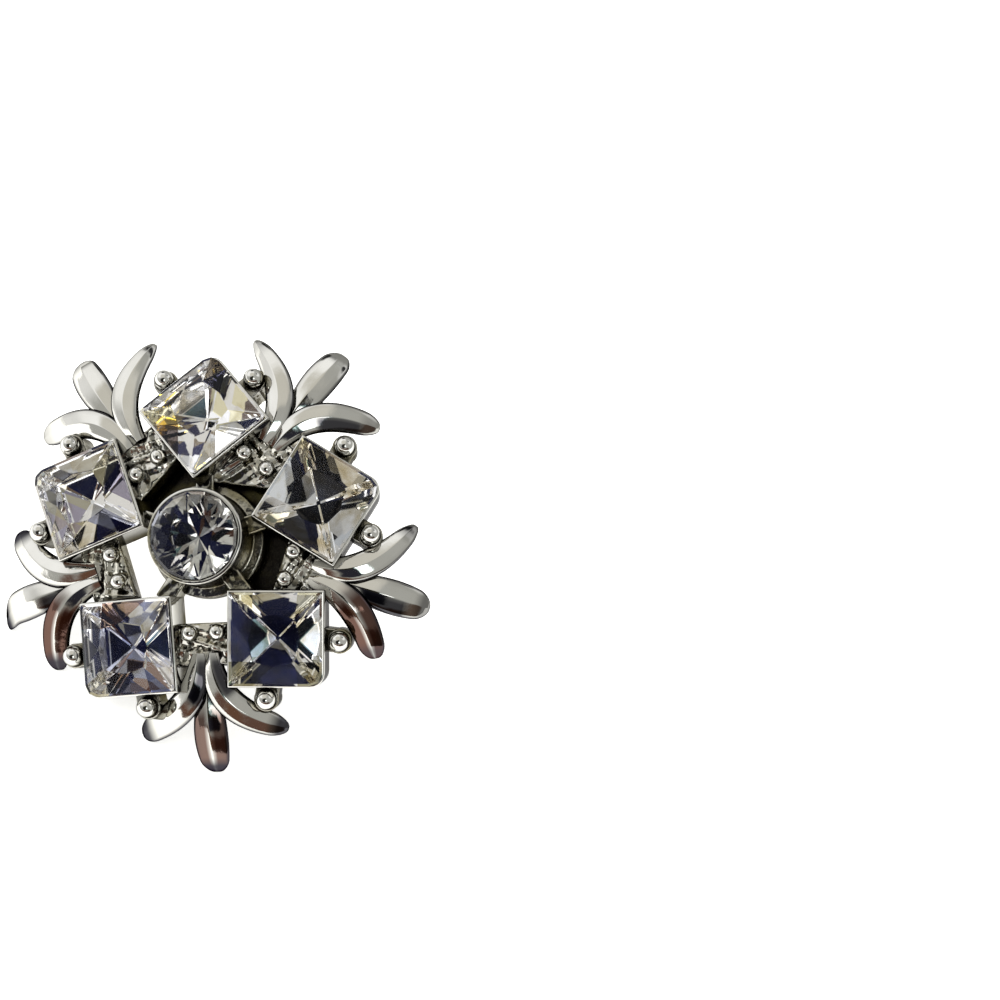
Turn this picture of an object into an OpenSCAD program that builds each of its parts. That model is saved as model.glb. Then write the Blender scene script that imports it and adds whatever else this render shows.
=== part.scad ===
// Screw back earring: a domed, five-fold cluster of square stones round one round stone.
// It lies as it would on a table, on two twig tips and the screw's knob, with +Z up.

/* [Square settings] */
// Side of a square setting over its rim, in mm
cup_side = 6.6; // [6.4:0.1:6.7]
// Wall of a square setting
cup_wall = 0.3; // [0.25:0.05:0.4]
// Depth of a square setting from its rim to its back
cup_depth = 2.8; // [2.75:0.05:2.9]
// Thickness of the floor in a setting
cup_floor = 0.25; // [0.2:0.05:0.3]
// Radius of the setting's outward corner
corner_r = 1; // [0.8:0.1:1.2]

/* [Stones] */
// How far a square stone's girdle stays inside its setting's rim
square_inset = 0.15; // [0.12:0.01:0.2]
// How far the round stone's girdle stays inside the bezel's rim
round_inset = 0.19; // [0.16:0.01:0.24]
// Height of a square stone's table over its rim
square_crown = 1.12; // [0.9:0.02:1.2]
// Height of the round stone's table over its rim
round_crown = 0.85; // [0.7:0.05:1]
// Distance of a square stone's table corners from its middle, along either side
square_table = 1.42; // [1.3:0.02:1.6]
// Diameter of the round stone's table
round_table = 3.1; // [2.8:0.1:3.4]
// Slope of the stones' backs in degrees
pavilion_slope = 42.5; // [41.5:0.5:42.5]

/* [Bezel] */
// Diameter of the round bezel over its rim
bezel_d = 6.6; // [6.4:0.1:6.8]
// Height of the bezel's rim over the square rims
bezel_top = 1.5; // [1.2:0.1:1.8]
// Wall of the bezel
bezel_wall = 0.35; // [0.3:0.05:0.45]
// Radius of the flange round the foot of the bezel
flange_r = 3.95; // [3.8:0.05:4.1]

/* [Beads and bridges] */
// Diameter of the beads beside the square settings
outer_bead_d = 1.36; // [1.2:0.04:1.5]
// Diameter of the paired beads at the root of each twig
inner_bead_d = 1.16; // [1:0.04:1.3]
// Distance of the bridges' inner edge from the middle
bridge_in = 5.7; // [5.5:0.1:5.8]
// Distance of the bridges' outer edge from the middle
bridge_out = 8.6; // [8.4:0.1:9]

/* [Twigs] */
// Distance of a twig's middle tip from the middle
mid_tip = 15.75; // [15.4:0.05:16]
// Distance of a twig's side tips along the twig
side_tip = 12.95; // [12.7:0.05:13.1]
// How far a side tip turns away from the twig's line
side_spread = 5.15; // [4.9:0.05:5.4]
// Greatest width of the middle prong
mid_width = 2.35; // [2.1:0.05:2.5]
// Greatest width of a side prong
side_width = 1.8; // [1.6:0.05:1.9]
// Greatest thickness of a prong
prong_thick = 1; // [0.8:0.05:1.1]

/* [Screw back] */
// Opening for the ear lobe, from the foot plate to the pad
lobe_gap = 6.4; // [6.2:0.1:6.6]
// Diameter of the pad
pad_d = 5; // [4.6:0.1:5.4]
// Diameter of the knob
knob_d = 5.2; // [4.8:0.1:5.4]
// Width of the bent strip
strip_w = 3; // [2.6:0.1:3.4]
// Thickness of the bent strip
strip_t = 0.9; // [0.8:0.05:1]
// Length of the foot plate
foot_len = 12; // [11:0.5:13]

/* [Hidden] */
$fn = 48;

// One row for each square setting: its place round the cluster and how its cup stands
// columns: azimuth, distance from the middle, twist, outward tilt
SETTINGS = [
    [88.8, 8.51, -4, 12.8],
    [16, 8.51, -3, 11.5],
    [-53.1, 8.74, 6.5, 10.3],
    [-124.5, 8.92, -7.3, 5.8],
    [160.3, 8.56, -5.3, 5.4],
];
AZIMUTH = 0;
DISTANCE = 1;
TWIST = 2;
TILT = 3;

// One row for each twig between the settings, as the hand-finished tips differ
// columns: azimuth, shift outwards, then for the prong turning left and for the one turning
// right how far its tip moves ahead and aside and how blunt it is, and last the middle tip's
// bend aside and down
TWIGS = [
    [54, 0.05, [0.1, 0.65, 0.5], [0, 0, 0.8], [0, 0]],
    [-18, 0.15, [0.3, 0, 0.6], [0.35, -0.85, 0.9], [0, 0]],
    [-89, 0, [0, 0, 0.75], [0, 0, 0.95], [0, 0]],
    [-163, 0, [0, -0.15, 0.85], [0, 0, 0.85], [0.75, 0]],
    [127, 0.45, [0, 0, 0.85], [0.35, 0, 0.5], [0, 0]],
];
SHIFT = 1;
LEFT = 2;
RIGHT = 3;
BEND = 4;

// The screw back's strip runs out this way from the middle
strip_azimuth = 54;
// How far the cluster leans back when it lies on a table
lean = 41.3;
// Shift that brings the middle of the resting part's footprint to the origin
rest_shift = [0.18, -2.42, 11.37];

overlap = 0.05;

// Square settings, measured from the rim plane
pocket_side = cup_side - 2 * cup_wall;
pocket_depth = cup_depth - cup_floor;
bead_out = 2.76;
bead_aside = 3.17;
bead_drop = 0.45;
lobe_r = 0.85;
lobe_top = -0.85;
// How far a lobe's slab reaches in to the setting's wall
lobe_reach = 0.4;

// Bezel
bezel_back = -2.7;
bezel_pocket_r = bezel_d / 2 - bezel_wall;
bezel_seat = bezel_top - 3;
bezel_waist = 0.1;
// How far under its rim the bezel starts to widen, and where it is full wide
rim_start = 0.9;
rim_full = 0.5;
flange_top = -1.7;
web_w = 1.3;
web_back = bezel_back + 0.3;
web_top = -0.7;
// How far a web starts inside the bezel's wall, and how deep it reaches in under a setting
web_in = 1.2;
web_share = 0.6;

// Bridges
bridge_top = -0.8;
bridge_back = -2.4;
// Half widths of a bridge at its inner and outer edge
bridge_in_half = 2.3;
bridge_out_half = 1.8;
inner_bead_r = 6.4;
inner_bead_aside = 0.97;
inner_bead_z = -0.26;
// How far a bead's neck goes into what carries it
neck_sink = 0.3;

// Twigs
twig_root = 7.8;
root_width = 1.15;
root_aside = 0.45;

// Screw back, measured from the rims' plane downwards
solder_seam = 0.05;
foot_t = 0.7;
foot_w = 5;
foot_x = 1.3;
foot_front = bezel_back - solder_seam;
foot_back = foot_front - foot_t;
pad_face = foot_back - lobe_gap;
pad_t = 0.7;
arm_clear = 0.45;
arm_front = pad_face - pad_t - arm_clear;
bend_r = (foot_front - arm_front + strip_t) / 2;
bend_x = 4.6;
screw_x = 2.6;
screw_r = 0.8;
barrel_r = 1.75;
barrel_len = 2;
knob_len = 2;
knob_clear = 0.4;
knob_edge = 0.25;

function lerp(a, b, t) = a + (b - a) * t;
function bezier(p, t) =
    p[0] * pow(1 - t, 3) + 3 * p[1] * t * pow(1 - t, 2) + 3 * p[2] * t * t * (1 - t) + p[3] * pow(t, 3);
function bezier_slope(p, t) =
    3 * (p[1] - p[0]) * pow(1 - t, 2) + 6 * (p[2] - p[1]) * t * (1 - t) + 3 * (p[3] - p[2]) * t * t;
// A ring of points at one height
function level(points, z) = [for (p = points) [p[0], p[1], z]];
// A point turned by quarter turns
function quarter(p, turns) = [p[0] * cos(90 * turns) - p[1] * sin(90 * turns),
                              p[0] * sin(90 * turns) + p[1] * cos(90 * turns)];
// A point at a polar angle
function polar(r, angle, z) = [r * cos(angle), r * sin(angle), z];

// Brings the cluster from its own axis to the way it lies on a table
module at_rest() {
    translate(rest_shift) rotate([lean, 0, 0]) rotate([0, 0, 90 - strip_azimuth]) children();
}

// The rim plane of one square setting, with X running outwards
module setting_frame(row, twisted) {
    rotate([0, 0, row[AZIMUTH]]) translate([row[DISTANCE], 0, 0]) rotate([0, row[TILT], 0])
        rotate([0, 0, twisted ? row[TWIST] : 0]) children();
}

// A square with one corner outwards along X, and that corner rounded
module corner_square(side, r) {
    middle = side / 2 - r;
    rotate([0, 0, -45]) {
        difference() {
            square(side, center = true);
            translate([middle, middle]) square(r + overlap);
        }
        translate([middle, middle]) circle(r);
    }
}

module cup_body() {
    translate([0, 0, -cup_depth]) linear_extrude(height = cup_depth) corner_square(cup_side, corner_r);
}

module cup_pocket() {
    translate([0, 0, -pocket_depth]) linear_extrude(height = pocket_depth + overlap)
        corner_square(pocket_side, corner_r - cup_wall);
}

// Two beads beside a setting's outward corner, each on a lobe of the casting
module outer_beads() {
    for (hand = [-1, 1]) {
        translate([bead_out, hand * bead_aside, 0]) {
            translate([0, 0, -bead_drop]) sphere(d = outer_bead_d);
            translate([0, 0, -cup_depth]) cylinder(r = lobe_r, h = cup_depth + lobe_top);
            rotate([0, 0, hand * 45 + 180]) translate([0, overlap - lobe_r, 2 * overlap - cup_depth])
                cube([lobe_r + lobe_reach, 2 * (lobe_r - overlap), cup_depth + lobe_top - 3 * overlap]);
            translate([0, 0, -cup_depth]) cylinder(d = 0.7 * outer_bead_d, h = cup_depth - bead_drop);
        }
    }
}

// Bezel with a flange round its foot and a slightly wider rim
module bezel_body() {
    rim = bezel_d / 2;
    neck = rim - bezel_waist;
    rotate_extrude() polygon([[0, bezel_back], [flange_r, bezel_back], [flange_r, flange_top],
        [neck, flange_top], [neck, bezel_top - rim_start], [rim, bezel_top - rim_full], [rim, bezel_top],
        [0, bezel_top]]);
}

module bezel_pocket() {
    translate([0, 0, bezel_seat]) cylinder(r = bezel_pocket_r, h = bezel_top - bezel_seat + overlap);
}

// Web from the bezel to the inward corner of one setting
module web(row) {
    inner = bezel_pocket_r - web_in;
    rotate([0, 0, row[AZIMUTH]]) translate([inner, -web_w / 2, web_back])
        cube([row[DISTANCE] - cup_side * web_share - inner, web_w, web_top - web_back]);
}

// Bridge between two settings, with its pair of beads
module bridge(row) {
    rotate([0, 0, row[AZIMUTH]]) {
        translate([0, 0, bridge_back]) linear_extrude(height = bridge_top - bridge_back)
            polygon([[bridge_in, -bridge_in_half], [bridge_out, -bridge_out_half],
                     [bridge_out, bridge_out_half], [bridge_in, bridge_in_half]]);
        for (hand = [-1, 1]) {
            translate([inner_bead_r, hand * inner_bead_aside, inner_bead_z]) sphere(d = inner_bead_d);
            translate([inner_bead_r, hand * inner_bead_aside, bridge_top - neck_sink])
                cylinder(d = 0.75 * inner_bead_d, h = inner_bead_z - bridge_top + neck_sink);
        }
    }
}

// Half outline of a prong across its run: aside by the half width, down by the thickness
PRONG_SECTION = [[-1, -0.6], [-0.82, -0.31], [-0.07, 0], [0.07, 0], [0.82, -0.31], [1, -0.6],
                 [0.85, -1], [-0.85, -1]];
prong_steps = 13;
// Where along a prong its end starts to round off, and where a bent tip starts to bend
cap_start = 0.88;
bend_start = 0.8;

// Ring of points across a prong at one step of its curve
function prong_ring(plan, height, widths, bend, t) =
    let (hook = pow(max(0, (t - bend_start) / (1 - bend_start)), 2),
         at = bezier(plan, t) + [0, bend[0] * hook],
         run = bezier_slope(plan, t),
         side = [-run[1], run[0]] / norm(run),
         cap = sqrt(max(0, 1 - pow(max(0, (t - cap_start) / (1 - cap_start)), 2))),
         half = bezier(widths, t) * lerp(0.2, 1, cap) / 2,
         depth = prong_thick * lerp(1, 0.62, t) * lerp(0.45, 1, cap))
    [for (s = PRONG_SECTION)
        [at[0] + side[0] * s[0] * half, at[1] + side[1] * s[0] * half,
         bezier(height, t) - (1 - cap) * 0.35 - bend[1] * hook + s[1] * depth]];

// A prong swept along a curve, with its ridge at the given heights
module prong(plan, height, widths, bend) {
    count = len(PRONG_SECTION);
    rings = [for (i = [0:prong_steps]) prong_ring(plan, height, widths, bend, sin(90 * i / prong_steps))];
    sides = [for (i = [0:prong_steps - 1]) for (j = [0:count - 1])
        let (a = i * count + j, b = i * count + (j + 1) % count)
        each [[a, b, b + count], [a, b + count, a + count]]];
    root = [for (j = [0:count - 1]) count - 1 - j];
    tip = [for (j = [0:count - 1]) prong_steps * count + j];
    polyhedron(points = [for (ring = rings) each ring], faces = concat(sides, [root, tip]), convexity = 4);
}

// A three-pronged twig: two prongs curl aside and one runs straight out from under them
module twig(row) {
    rotate([0, 0, row[AZIMUTH]]) translate([row[SHIFT], 0, 0]) {
        for (hand = [-1, 1]) {
            tip = hand > 0 ? row[LEFT] : row[RIGHT];
            prong(plan = [[twig_root, hand * root_aside], [10.7, hand * 0.5], [12.1, hand * 1.9],
                          [side_tip + tip[0], hand * (side_spread + tip[1])]],
                  height = [-0.42, -0.2, -0.75, -2.6],
                  widths = [root_width, 1.3 * side_width, 1.3 * side_width, tip[2] * side_width],
                  bend = [0, 0]);
        }
        prong(plan = [[9, 0], [11.5, 0], [13.5, 0], [mid_tip, 0]],
              height = [-1.1, -0.9, -1.2, -3],
              widths = [1.2, 0.85 * mid_width, 1.35 * mid_width, 0.7 * mid_width],
              bend = row[BEND]);
    }
}

module cast_setting() {
    color("silver") at_rest() {
        difference() {
            union() {
                bezel_body();
                for (row = SETTINGS) {
                    setting_frame(row, true) cup_body();
                    setting_frame(row, false) outer_beads();
                    web(row);
                }
                for (row = TWIGS) bridge(row);
            }
            bezel_pocket();
            for (row = SETTINGS) setting_frame(row, true) cup_pocket();
        }
        for (row = TWIGS) twig(row);
    }
}

// Square stone in its setting's frame, with one corner rounded outwards along X. Its girdle
// overhangs the rim. Each side carries a triangle that stands on the girdle with its tip at the
// eight-sided table, with facets from there round each corner. The foiled back is a blunt pyramid.
module square_stone(row) {
    half = cup_side / 2 - square_inset;
    ledge = 0.2;
    girdle_low = 0.12;
    girdle_top = 0.27;
    base = 0.48 * half;
    tip = 1.75;
    culet = 0.16;
    culet_z = girdle_low - (half - ledge - culet) * tan(pavilion_slope);
    // Both ends of each side's triangle, then three points round the corner after it
    function rim(inset) = [for (k = [0:3])
        let (r = k == 0 ? corner_r - square_inset - inset : max(0.22 - inset, overlap),
             edge = half - inset, c = edge - r,
             arc = [for (turn = [0, 45, 90]) [c + r * cos(turn), c + r * sin(turn)]])
        for (p = concat([[edge, -base], [edge, base]], arc)) quarter(p, k)];
    table = [for (k = [0:3]) each [quarter([tip, 0], k), quarter([square_table, square_table], k)]];
    points = concat(level(rim(0), girdle_top), level(rim(0), girdle_low), level(rim(ledge), girdle_low),
                    level(table, square_crown), level([for (k = [0:3]) quarter([culet, culet], k)], culet_z));
    LOW = 20;
    LEDGE = 40;
    TABLE = 60;
    CULET = 68;
    crown = [for (k = [0:3])
        let (g = 5 * k, next = (g + 5) % 20, t = TABLE + 2 * k, c = t + 1, t2 = TABLE + (2 * k + 2) % 8)
        each [[t, g + 1, g], [c, g + 1, t], [c, g + 2, g + 1], [c, g + 3, g + 2], [c, g + 4, g + 3],
              [c, next, g + 4], [t2, next, c]]];
    side = [for (j = [0:19])
        let (next = (j + 1) % 20)
        each [[j, next, LOW + next, LOW + j], [LOW + j, LOW + next, LEDGE + next, LEDGE + j]]];
    pavilion = [for (k = [0:3])
        let (g = LEDGE + 5 * k, c = CULET + k, before = CULET + (k + 3) % 4,
             start = LEDGE + (5 * k + 19) % 20)
        each [[c, before, start], [c, start, g], [c, g, g + 1], [c, g + 1, g + 2],
              [c, g + 2, g + 3], [c, g + 3, g + 4]]];
    color("lightgrey") at_rest() setting_frame(row, true) rotate([0, 0, -45])
        polyhedron(points = points, convexity = 2,
                   faces = concat(crown, side, pavilion, [[for (j = [0:7]) TABLE + 7 - j]],
                                  [[for (k = [0:3]) CULET + k]]));
}

// Round brilliant whose girdle overhangs the bezel's inner wall: eight stars, eight kites and
// sixteen girdle facets over an eight-fold pavilion
module centre_stone() {
    r = bezel_d / 2 - round_inset;
    inner = r - 0.22;
    girdle_low = bezel_top + 0.1;
    girdle_top = bezel_top + 0.2;
    table_z = bezel_top + round_crown;
    table_r = round_table / 2;
    culet_z = girdle_low - inner * tan(pavilion_slope);
    star_r = lerp(table_r, r, 0.5);
    pit_r = inner * 0.42;
    // Heights that keep each kite flat
    star_z = lerp(table_z, girdle_top, (star_r * cos(22.5) - table_r) / (r - table_r));
    pit_z = lerp(culet_z, girdle_low, pit_r * cos(22.5) / inner);
    points = concat([for (i = [0:15]) polar(r, 22.5 * i, girdle_top)],
                    [for (i = [0:15]) polar(r, 22.5 * i, girdle_low)],
                    [for (i = [0:15]) polar(inner, 22.5 * i, girdle_low)],
                    [for (i = [0:7]) polar(table_r, 45 * i, table_z)],
                    [for (i = [0:7]) polar(star_r, 45 * i + 22.5, star_z)],
                    [for (i = [0:7]) polar(pit_r, 45 * i + 22.5, pit_z)], [[0, 0, culet_z]]);
    LOW = 16;
    LEDGE = 32;
    TABLE = 48;
    STAR = 56;
    PIT = 64;
    CULET = 72;
    facets = [for (i = [0:7])
        let (g = 2 * i, h = g + 1, next = (g + 2) % 16, t = TABLE + i, t2 = TABLE + (i + 1) % 8,
             s = STAR + i, s0 = STAR + (i + 7) % 8, p = PIT + i, p0 = PIT + (i + 7) % 8)
        each [[t, t2, s], [g, s0, t], [g, t, s], [g, s, h], [h, s, next],
              [LEDGE + g, LEDGE + h, p], [LEDGE + h, LEDGE + next, p], [LEDGE + g, p, CULET],
              [LEDGE + g, CULET, p0]]];
    side = [for (j = [0:15])
        let (next = (j + 1) % 16)
        each [[j, next, LOW + next, LOW + j], [LOW + j, LOW + next, LEDGE + next, LEDGE + j]]];
    color("lightgrey") at_rest() rotate([0, 0, 8])
        polyhedron(points = points, convexity = 2,
                   faces = concat(facets, side, [[for (i = [0:7]) TABLE + 7 - i]]));
}

// Strip bent back under the lobe, as an outline in the plane of the screw
module strip_outline() {
    middle_z = foot_front - bend_r;
    translate([foot_x, foot_front - strip_t]) square([bend_x - foot_x, strip_t]);
    translate([screw_x, foot_front - 2 * bend_r]) square([bend_x - screw_x, strip_t]);
    translate([bend_x, middle_z]) intersection() {
        difference() {
            circle(bend_r);
            circle(bend_r - strip_t);
        }
        translate([0, -bend_r]) square([bend_r, 2 * bend_r]);
    }
}

module screw_back() {
    arm_back = foot_front - 2 * bend_r;
    barrel_back = arm_back - barrel_len / 2;
    knob_front = barrel_back - knob_clear;
    color("gainsboro") at_rest() rotate([0, 0, strip_azimuth]) {
        translate([foot_x - foot_w / 2, -(foot_len - foot_w) / 2, foot_back])
            cube([foot_w, foot_len - foot_w, foot_t]);
        for (hand = [-1, 1])
            translate([foot_x, hand * (foot_len - foot_w) / 2, foot_back]) cylinder(d = foot_w, h = foot_t);
        translate([0, strip_w / 2, 0]) rotate([90, 0, 0]) linear_extrude(height = strip_w) strip_outline();
        translate([screw_x, 0, 0]) {
            translate([0, 0, pad_face - pad_t]) cylinder(d = pad_d, h = pad_t);
            translate([0, 0, barrel_back]) cylinder(r = barrel_r, h = barrel_len);
            translate([0, 0, knob_front - overlap])
                cylinder(r = screw_r, h = pad_face - knob_front - pad_t + 2 * overlap);
            translate([0, 0, knob_front - knob_len + knob_edge])
                cylinder(d = knob_d, h = knob_len - 2 * knob_edge);
            translate([0, 0, knob_front - knob_edge])
                cylinder(d1 = knob_d, d2 = knob_d - 2 * knob_edge, h = knob_edge);
            translate([0, 0, knob_front - knob_len])
                cylinder(d1 = knob_d - 2 * knob_edge, d2 = knob_d, h = knob_edge);
        }
    }
}

module square_stone_1() { square_stone(SETTINGS[0]); }
module square_stone_2() { square_stone(SETTINGS[1]); }
module square_stone_3() { square_stone(SETTINGS[2]); }
module square_stone_4() { square_stone(SETTINGS[3]); }
module square_stone_5() { square_stone(SETTINGS[4]); }

cast_setting();
centre_stone();
square_stone_1();
square_stone_2();
square_stone_3();
square_stone_4();
square_stone_5();
screw_back();
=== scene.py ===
import math
import bpy
import numpy as np
from mathutils import Matrix, Vector


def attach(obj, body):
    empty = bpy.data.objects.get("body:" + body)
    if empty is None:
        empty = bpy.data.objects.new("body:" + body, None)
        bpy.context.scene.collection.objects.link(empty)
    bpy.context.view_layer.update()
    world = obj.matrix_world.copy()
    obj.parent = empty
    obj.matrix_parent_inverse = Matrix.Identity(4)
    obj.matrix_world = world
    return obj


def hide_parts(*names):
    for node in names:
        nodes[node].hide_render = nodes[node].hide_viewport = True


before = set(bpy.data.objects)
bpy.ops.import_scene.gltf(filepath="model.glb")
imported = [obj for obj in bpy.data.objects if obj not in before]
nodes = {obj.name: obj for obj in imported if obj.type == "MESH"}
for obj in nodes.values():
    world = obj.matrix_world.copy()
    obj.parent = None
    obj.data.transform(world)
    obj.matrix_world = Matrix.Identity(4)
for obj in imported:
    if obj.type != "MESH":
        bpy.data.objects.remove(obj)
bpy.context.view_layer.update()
print("frame loaded:", len(nodes), "nodes")

# Shapes are worked out in mm in the cluster's own frame: Z is the way its face looks, X and Y lie
# across it. How it then lies on the table, as the frame has it: turned, leant back and shifted.
lie = {"turn": 36, "lean": 41.3, "shift": (0.18, -2.42, 11.37)}

def turnAbout(axis, degrees):
    return np.array(Matrix.Rotation(math.radians(degrees), 3, axis))

lieMatrix = turnAbout("X", lie["lean"]) @ turnAbout("Z", lie["turn"])

# Turned and leant as the cluster lies, with no shift
def lieDirection(direction):
    return np.asarray(direction, float) @ lieMatrix.T

# From the cluster's frame in mm to the part's frame in metres
def onTable(points):
    return (np.asarray(points, float) @ lieMatrix.T + lie["shift"]) / 1000


# Camera

cameraSettings = {
    "lens": 91.2, "sensor": 36,  # mm
    "place": (47.46, -18.5, 165.55),  # mm, in the cluster's frame
    "right": (0.98684, -0.01168, -0.1613), "up": (0.03097, 0.99257, 0.11765),  # directions there
}
cameraRight = lieDirection(cameraSettings["right"])
cameraUp = lieDirection(cameraSettings["up"])
cameraBack = np.cross(cameraRight, cameraUp)

def makeCamera(s):
    data = bpy.data.cameras.new("camera")
    data.lens, data.sensor_width, data.clip_start = s["lens"], s["sensor"], 0.01
    camera = bpy.data.objects.new("camera", data)
    bpy.context.scene.collection.objects.link(camera)
    turn = Matrix(np.column_stack([cameraRight, cameraUp, cameraBack]).tolist()).to_4x4()
    camera.matrix_world = Matrix.Translation(Vector(onTable(s["place"]))) @ turn
    bpy.context.scene.camera = camera

makeCamera(cameraSettings)
print("camera placed")


# Surfaces: rings of points, each (rows, columns, 3) in mm, and the faces over them

# Closes a tube of rings with a fan at each end. Point k*columns + j is point j of ring k.
def closedTube(rings):
    rows, columns, _ = rings.shape
    points = np.vstack([rings.reshape(-1, 3), rings[0].mean(0), rings[-1].mean(0)])
    k, j = np.meshgrid(np.arange(rows - 1) * columns, np.arange(columns), indexing="ij")
    nextJ = (j + 1) % columns
    quads = np.stack([k + j, k + nextJ, k + nextJ + columns, k + j + columns], -1).reshape(-1, 4)
    j = np.arange(columns)
    nextJ = (j + 1) % columns
    first, last, top = rows * columns, rows * columns + 1, (rows - 1) * columns
    fans = np.vstack([np.column_stack([j * 0 + first, nextJ, j]),
                      np.column_stack([j * 0 + last, top + j, top + nextJ])])
    return outward(points, quads, fans)

# Volume under each face, from the origin: negative in all means that the faces look inwards
def outward(points, quads, tris):
    a, b, c, d = (points[quads[:, i]] for i in range(4))
    volume = np.einsum("ij,ij->", a, np.cross(b, c)) + np.einsum("ij,ij->", a, np.cross(c, d))
    a, b, c = (points[tris[:, i]] for i in range(3))
    volume += np.einsum("ij,ij->", a, np.cross(b, c))
    if volume < 0:
        quads, tris = quads[:, ::-1], tris[:, ::-1]
    return points, quads, tris

# A profile of (radius, height) turned about Z: at each angle, (radius cos, radius sin, height)
def turned(profile, sides):
    r, z = np.array(profile, float).T
    angle = np.arange(sides) / sides * 2 * math.pi
    return np.stack([np.outer(r, np.cos(angle)), np.outer(r, np.sin(angle)),
                     np.outer(z, np.ones(sides))], -1)

# Outline of a convex polygon with round corners, moved inwards by an inset. Each corner is an arc:
# its centre lies on the corner's bisector, (inset + radius) from both sides.
def insetOutline(corners, radii, inset, steps=6):
    corners, radii = np.array(corners, float), np.array(radii, float)
    along = np.roll(corners, -1, 0) - corners
    along /= np.linalg.norm(along, axis=1, keepdims=True)
    before = np.roll(along, 1, 0)
    turn = np.arctan2(before[:, 0] * along[:, 1] - before[:, 1] * along[:, 0], (before * along).sum(1))
    radius = np.maximum(radii - inset, 0.03)
    inwards = along - before
    inwards /= np.linalg.norm(inwards, axis=1, keepdims=True)
    centre = corners + inwards * ((inset + radius) / np.cos(turn / 2))[:, None]
    start = np.arctan2(-before[:, 0], before[:, 1])
    angle = start[:, None] + turn[:, None] * np.linspace(0, 1, steps)
    arcs = centre[:, None] + radius[:, None, None] * np.stack([np.cos(angle), np.sin(angle)], -1)
    return arcs.reshape(-1, 2)

# The outline carried up a profile of (inset, height)
def walled(corners, radii, profile):
    return np.array([np.column_stack([outline, np.full(len(outline), z)])
                     for inset, z in profile for outline in [insetOutline(corners, radii, inset)]])

# The same closed outline with its points evenly spaced
def evenly(outline, count):
    closed = np.vstack([outline, outline[:1]])
    along = np.append(0, np.cumsum(np.linalg.norm(np.diff(closed, axis=0), axis=1)))
    at = np.linspace(0, along[-1], count, endpoint=False)
    return np.column_stack([np.interp(at, along, closed[:, 0]), np.interp(at, along, closed[:, 1])])

# Lumps of rough casting, from waves 0.8 to 1.6 mm long over x and y in mm: two that cross are
# multiplied, and two finer ones are added
def lumps(x, y):
    waves = np.sin(4.3 * x + 1.6 * y + 0.7) * np.sin(3.4 * y - 1.8 * x)
    waves += 0.6 * np.sin(6.9 * x - 2.6 * y + 2)
    waves += 0.5 * np.sin(2.9 * x + 7.6 * y)
    return waves / 2

# Block with round edges and a lumpy top: rings up the walls, then inwards over the top to its middle.
# The lumps are at their full height 0.3 mm in from the edge.
def lumpyBlock(corners, radii, low, top, lumpHeight, inwards, edge=0.15, count=64):
    levels = [(0.06, low), (0, low + 0.06)] + roundEdge((edge, top - edge), edge, 180, 90)
    levels += [(inset, top) for inset in np.linspace(edge, inwards, 9)[1:]]
    rings = []
    for inset, z in levels:
        ring = evenly(insetOutline(corners, radii, inset), count)
        share = np.clip((z - top + edge) / edge, 0, 1) * min(1, (inset + 0.1) / 0.4)
        rings.append(np.column_stack([ring, z + share * lumpHeight * lumps(*ring.T)]))
    middle = ring.mean(0)
    for shrink in (0.8, 0.6, 0.4, 0.2):
        inner = middle + shrink * (ring - middle)
        rings.append(np.column_stack([inner, top + lumpHeight * lumps(*inner.T)]))
    return closedTube(np.array(rings))

# Points of an arc between two directions, in degrees
def roundEdge(centre, radius, start, end, steps=5):
    angle = np.radians(np.linspace(start, end, steps))
    return [(centre[0] + radius * math.cos(a), centre[1] + radius * math.sin(a)) for a in angle]

# Moves a surface's points by a matrix and a shift, in mm
def moved(surface, matrix=None, shift=(0, 0, 0)):
    points = surface[0] if matrix is None else surface[0] @ np.asarray(matrix).T
    return (points + np.array(shift, float), *surface[1:])

# One mesh from several surfaces. Each is (points, quads, tris, film, edge, brown): how much yellowed
# film lies at each point, how much painted shade and dark reflection darken it and how browned it is, from
# 0 to 1. The last two may be left out.
def joinedPiece(name, surfaces, materials, sharpAngle=30):
    points, quads, tris, count = [], [], [], 0
    marks = {"film": [], "edge": [], "brown": []}
    for surface in surfaces:
        points.append(surface[0])
        quads.append(surface[1] + count)
        tris.append(surface[2] + count)
        for amounts, amount in zip(marks.values(), (*surface[3:], 0, 0)):
            amounts.append(np.broadcast_to(amount, len(surface[0])))
        count += len(surface[0])
    mesh = bpy.data.meshes.new(name)
    faces = np.vstack(quads).tolist() + np.vstack(tris).tolist()
    mesh.from_pydata(onTable(np.vstack(points)).tolist(), [], faces)
    for mark, amounts in marks.items():
        mesh.attributes.new(mark, "FLOAT", "POINT").data.foreach_set("value", np.concatenate(amounts))
    for material in materials:
        mesh.materials.append(material)
    piece = bpy.data.objects.new(name, mesh)
    bpy.context.scene.collection.objects.link(piece)
    mesh.shade_smooth()
    mesh.set_sharp_from_angle(angle=math.radians(sharpAngle))
    return piece


# Materials

# One sRGB hex colour as linear red, green, blue and alpha
def hexColour(text):
    srgb = np.array([int(text[i:i + 2], 16) / 255 for i in (1, 3, 5)])
    linear = np.where(srgb <= 0.04045, srgb / 12.92, ((srgb + 0.055) / 1.055) ** 2.4)
    return (*linear.tolist(), 1.0)

# Adds a node, sets its properties and socket values, and links its inputs from other sockets
def addNode(tree, kind, values={}, links={}, **properties):
    node = tree.nodes.new(kind)
    for name, value in properties.items():
        setattr(node, name, value)
    for name, value in values.items():
        node.inputs[name].default_value = value
    for name, socket in links.items():
        tree.links.new(socket, node.inputs[name])
    return node

def newMaterial(name):
    material = bpy.data.materials.new(name)
    material.use_nodes = True
    material.node_tree.nodes.clear()
    return material, material.node_tree

def finishMaterial(material, shader):
    tree = material.node_tree
    addNode(tree, "ShaderNodeOutputMaterial", links={"Surface": shader.outputs[0]})
    return material
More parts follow.
